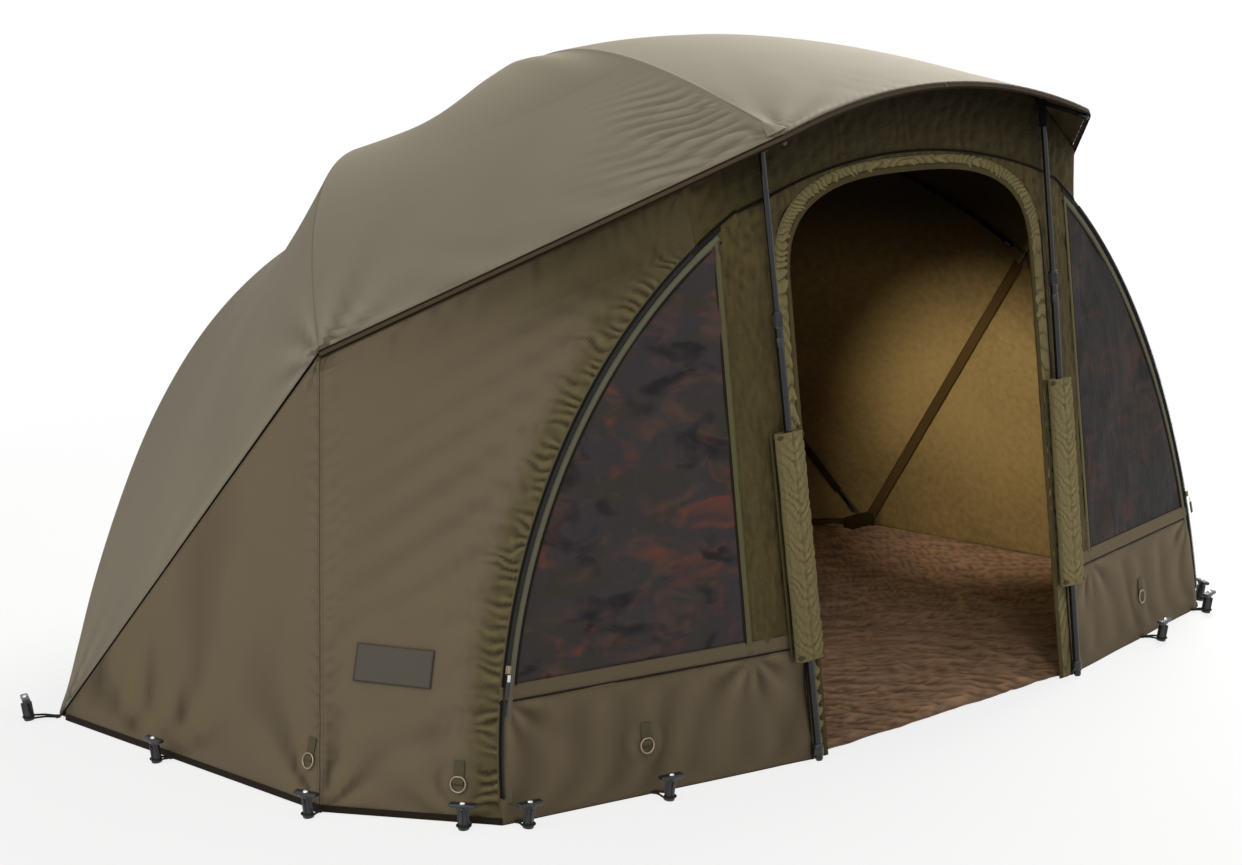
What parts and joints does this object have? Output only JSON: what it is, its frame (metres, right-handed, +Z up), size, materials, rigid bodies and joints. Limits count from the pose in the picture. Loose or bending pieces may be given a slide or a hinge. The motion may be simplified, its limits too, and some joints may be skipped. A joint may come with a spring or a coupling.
{
  "type": "fishing brolly shelter",
  "caption": "Low tilted umbrella shelter with sloping side walls, a zipped front with mesh windows and an open door, storm poles, groundsheet and pegs; the umbrella frame folds.",
  "frame": {"origin": "on the ground, in the middle of the floor from side to side, under the door side of the hub", "axes": "the door faces -Y, +X is to the right when looking in, +Z up"},
  "size_m": [2.7328, 1.7349, 1.3649],
  "materials": {
    "canopy_cloth": "matt coated ripstop",
    "wall_cloth": "matt coated ripstop",
    "front_cloth": "matt coated cloth",
    "window_mesh": "fine mesh over a blotched sheet",
    "groundsheet_cloth": "matt coated sheet",
    "zip_tape": "coil zip",
    "dark_alloy": "dark anodised",
    "black_plastic": "moulded",
    "bright_metal": "plated",
    "label_cloth": "woven patch"
  },
  "bodies": {
    "shelter": {"hub_block": "black_plastic", "hub_cap": "black_plastic", "centre_tube": "dark_alloy", "canopy": "canopy_cloth", "wall_left": "wall_cloth", "wall_right": "wall_cloth", "header_band": "front_cloth", "front_infill": "front_cloth", "window_left": "window_mesh", "window_right": "window_mesh", "groundsheet": "groundsheet_cloth", "pole_sleeve_left": "front_cloth", "pole_sleeve_right": "front_cloth", "zip_track_left": "zip_tape", "zip_track_right": "zip_tape", "label_patch": "label_cloth", "peg_back": "black_plastic", "peg_corner_left": "black_plastic", "peg_corner_right": "black_plastic", "peg_front_left": "black_plastic", "peg_front_right": "black_plastic", "peg_rear_left": "black_plastic", "peg_rear_right": "black_plastic", "peg_seam_left": "black_plastic", "peg_seam_right": "black_plastic", "peg_side_left": "black_plastic", "peg_side_right": "black_plastic", "peg_wall_left": "black_plastic", "peg_wall_right": "black_plastic", "ring_tab_corner_left": "front_cloth", "ring_tab_corner_right": "front_cloth", "ring_tab_front_left": "front_cloth", "ring_tab_front_right": "front_cloth", "ring_tab_side_left": "front_cloth", "ring_tab_side_right": "front_cloth"},
    "runner": {"runner": "black_plastic"},
    "lock_button": {"lock_button": "bright_metal"},
    "rib_front_left": {"rib_front_left": "dark_alloy"},
    "stretcher_front_left": {"stretcher_front_left": "dark_alloy"},
    "pole_upper_left": {"pole_upper_left": "dark_alloy"},
    "pole_lower_left": {"pole_lower_left": "dark_alloy"},
    "pole_collar_left": {"pole_collar_left": "black_plastic"},
    "rib_front_right": {"rib_front_right": "dark_alloy"},
    "stretcher_front_right": {"stretcher_front_right": "dark_alloy"},
    "pole_upper_right": {"pole_upper_right": "dark_alloy"},
    "pole_lower_right": {"pole_lower_right": "dark_alloy"},
    "pole_collar_right": {"pole_collar_right": "black_plastic"},
    "rib_side_left": {"rib_side_left": "dark_alloy"},
    "stretcher_side_left": {"stretcher_side_left": "dark_alloy"},
    "rib_side_right": {"rib_side_right": "dark_alloy"},
    "stretcher_side_right": {"stretcher_side_right": "dark_alloy"},
    "rib_rear_left": {"rib_rear_left": "dark_alloy"},
    "stretcher_rear_left": {"stretcher_rear_left": "dark_alloy"},
    "rib_rear_right": {"rib_rear_right": "dark_alloy"},
    "stretcher_rear_right": {"stretcher_rear_right": "dark_alloy"},
    "zip_slider_left": {"zip_slider_left": "bright_metal"},
    "zip_puller_left": {"zip_puller_left": "zip_tape"},
    "zip_slider_right": {"zip_slider_right": "bright_metal"},
    "zip_puller_right": {"zip_puller_right": "zip_tape"}
  },
  "joints": [
    {"name": "runner_slide", "type": "slide", "parent": "shelter", "child": "runner", "axis": [0, -0.5299, -0.848], "range_m": [0, 0.36], "deforming": ["canopy", "wall_left", "wall_right", "header_band", "front_infill", "window_left", "window_right", "groundsheet", "pole_sleeve_left", "pole_sleeve_right", "zip_track_left", "zip_track_right", "label_patch", "ring_tab_corner_left", "ring_tab_corner_right", "ring_tab_front_left", "ring_tab_front_right", "ring_tab_side_left", "ring_tab_side_right"]},
    {"name": "lock_press", "type": "slide", "parent": "runner", "child": "lock_button", "axis": [0, -0.848, 0.5299], "range_m": [0, 0.0025], "stiffness_N_per_m": 300},
    {"name": "rib_fold_front_left", "type": "hinge", "parent": "shelter", "child": "rib_front_left", "pos_m": [-0.01188, 0.60709, 0.99144], "axis": [0.9369, -0.2964, 0.1852], "range_deg": [0, 59.49]},
    {"name": "stretcher_fold_front_left", "type": "hinge", "parent": "rib_front_left", "child": "stretcher_front_left", "pos_m": [-0.1238, 0.41266, 1.20159], "axis": [0.9369, -0.2964, 0.1852], "range_deg": [-74.57, 0]},
    {"name": "pole_hang_left", "type": "hinge", "parent": "rib_front_left", "child": "pole_upper_left", "pos_m": [-0.45094, -0.66495, 1.22423], "axis": [0.9369, -0.2964, 0.1852], "range_deg": [-53.99, 0]},
    {"name": "pole_extend_left", "type": "slide", "parent": "pole_upper_left", "child": "pole_lower_left", "axis": [-0.0186, 0.1226, 0.9923], "range_m": [0, 0.24]},
    {"name": "collar_twist_left", "type": "hinge", "parent": "pole_lower_left", "child": "pole_collar_left", "pos_m": [-0.44368, -0.71279, 0.837], "axis": [-0.0186, 0.1226, 0.9923], "range_deg": [0, 90]},
    {"name": "rib_fold_front_right", "type": "hinge", "parent": "shelter", "child": "rib_front_right", "pos_m": [0.01188, 0.60709, 0.99144], "axis": [0.9369, 0.2964, -0.1852], "range_deg": [0, 59.49]},
    {"name": "stretcher_fold_front_right", "type": "hinge", "parent": "rib_front_right", "child": "stretcher_front_right", "pos_m": [0.1238, 0.41266, 1.20159], "axis": [0.9369, 0.2964, -0.1852], "range_deg": [-74.57, 0]},
    {"name": "pole_hang_right", "type": "hinge", "parent": "rib_front_right", "child": "pole_upper_right", "pos_m": [0.45094, -0.66495, 1.22423], "axis": [0.9369, 0.2964, -0.1852], "range_deg": [-53.99, 0]},
    {"name": "pole_extend_right", "type": "slide", "parent": "pole_upper_right", "child": "pole_lower_right", "axis": [0.0186, 0.1226, 0.9923], "range_m": [0, 0.24]},
    {"name": "collar_twist_right", "type": "hinge", "parent": "pole_lower_right", "child": "pole_collar_right", "pos_m": [0.44368, -0.71279, 0.837], "axis": [0.0186, 0.1226, 0.9923], "range_deg": [0, 90]},
    {"name": "rib_fold_side_left", "type": "hinge", "parent": "shelter", "child": "rib_side_left", "pos_m": [-0.03016, 0.62079, 0.98288], "axis": [0.4616, -0.7523, 0.4701], "range_deg": [0, 56.37]},
    {"name": "stretcher_fold_side_left", "type": "hinge", "parent": "rib_side_left", "child": "stretcher_side_left", "pos_m": [-0.30287, 0.52669, 1.08244], "axis": [0.4616, -0.7523, 0.4701], "range_deg": [-77.81, 0]},
    {"name": "rib_fold_side_right", "type": "hinge", "parent": "shelter", "child": "rib_side_right", "pos_m": [0.03016, 0.62079, 0.98288], "axis": [0.4616, 0.7523, -0.4701], "range_deg": [0, 56.37]},
    {"name": "stretcher_fold_side_right", "type": "hinge", "parent": "rib_side_right", "child": "stretcher_side_right", "pos_m": [0.30287, 0.52669, 1.08244], "axis": [0.4616, 0.7523, -0.4701], "range_deg": [-77.81, 0]},
    {"name": "rib_fold_rear_left", "type": "hinge", "parent": "shelter", "child": "rib_rear_left", "pos_m": [-0.03255, 0.64243, 0.96936], "axis": [-0.2886, -0.812, 0.5074], "range_deg": [0, 46.5]},
    {"name": "stretcher_fold_rear_left", "type": "hinge", "parent": "rib_rear_left", "child": "stretcher_rear_left", "pos_m": [-0.35175, 0.7282, 0.90868], "axis": [-0.2886, -0.812, 0.5074], "range_deg": [-70.76, 0]},
    {"name": "rib_fold_rear_right", "type": "hinge", "parent": "shelter", "child": "rib_rear_right", "pos_m": [0.03255, 0.64243, 0.96936], "axis": [-0.2886, 0.812, -0.5074], "range_deg": [0, 46.5]},
    {"name": "stretcher_fold_rear_right", "type": "hinge", "parent": "rib_rear_right", "child": "stretcher_rear_right", "pos_m": [0.35175, 0.7282, 0.90868], "axis": [-0.2886, 0.812, -0.5074], "range_deg": [-70.76, 0]},
    {"name": "zip_run_left", "type": "hinge", "parent": "shelter", "child": "zip_slider_left", "pos_m": [0.03399, -0.88635, 0.03799], "axis": [0.191, 0.9745, -0.1179], "range_deg": [-9, 40]},
    {"name": "puller_swing_left", "type": "hinge", "parent": "zip_slider_left", "child": "zip_puller_left", "pos_m": [-1.09552, -0.65026, 0.27054], "axis": [-0.9555, 0.2121, 0.2052], "range_deg": [0, 120]},
    {"name": "zip_run_right", "type": "hinge", "parent": "shelter", "child": "zip_slider_right", "pos_m": [-0.03399, -0.88635, 0.03799], "axis": [0.191, -0.9745, 0.1179], "range_deg": [-9, 40]},
    {"name": "puller_swing_right", "type": "hinge", "parent": "zip_slider_right", "child": "zip_puller_right", "pos_m": [1.09552, -0.65026, 0.27054], "axis": [-0.9555, -0.2121, -0.2052], "range_deg": [0, 120]}
  ],
  "couplings": [
    {"joint": "rib_fold_front_left", "follows": "runner_slide", "rad_per_m": 2.8815},
    {"joint": "stretcher_fold_front_left", "follows": "runner_slide", "rad_per_m": -3.613},
    {"joint": "pole_hang_left", "follows": "runner_slide", "rad_per_m": -2.6148},
    {"joint": "rib_fold_front_right", "follows": "runner_slide", "rad_per_m": 2.8815},
    {"joint": "stretcher_fold_front_right", "follows": "runner_slide", "rad_per_m": -3.613},
    {"joint": "pole_hang_right", "follows": "runner_slide", "rad_per_m": -2.6148},
    {"joint": "rib_fold_side_left", "follows": "runner_slide", "rad_per_m": 2.7307},
    {"joint": "stretcher_fold_side_left", "follows": "runner_slide", "rad_per_m": -3.7699},
    {"joint": "rib_fold_side_right", "follows": "runner_slide", "rad_per_m": 2.7307},
    {"joint": "stretcher_fold_side_right", "follows": "runner_slide", "rad_per_m": -3.7699},
    {"joint": "rib_fold_rear_left", "follows": "runner_slide", "rad_per_m": 2.2522},
    {"joint": "stretcher_fold_rear_left", "follows": "runner_slide", "rad_per_m": -3.4283},
    {"joint": "rib_fold_rear_right", "follows": "runner_slide", "rad_per_m": 2.2522},
    {"joint": "stretcher_fold_rear_right", "follows": "runner_slide", "rad_per_m": -3.4283}
  ]
}
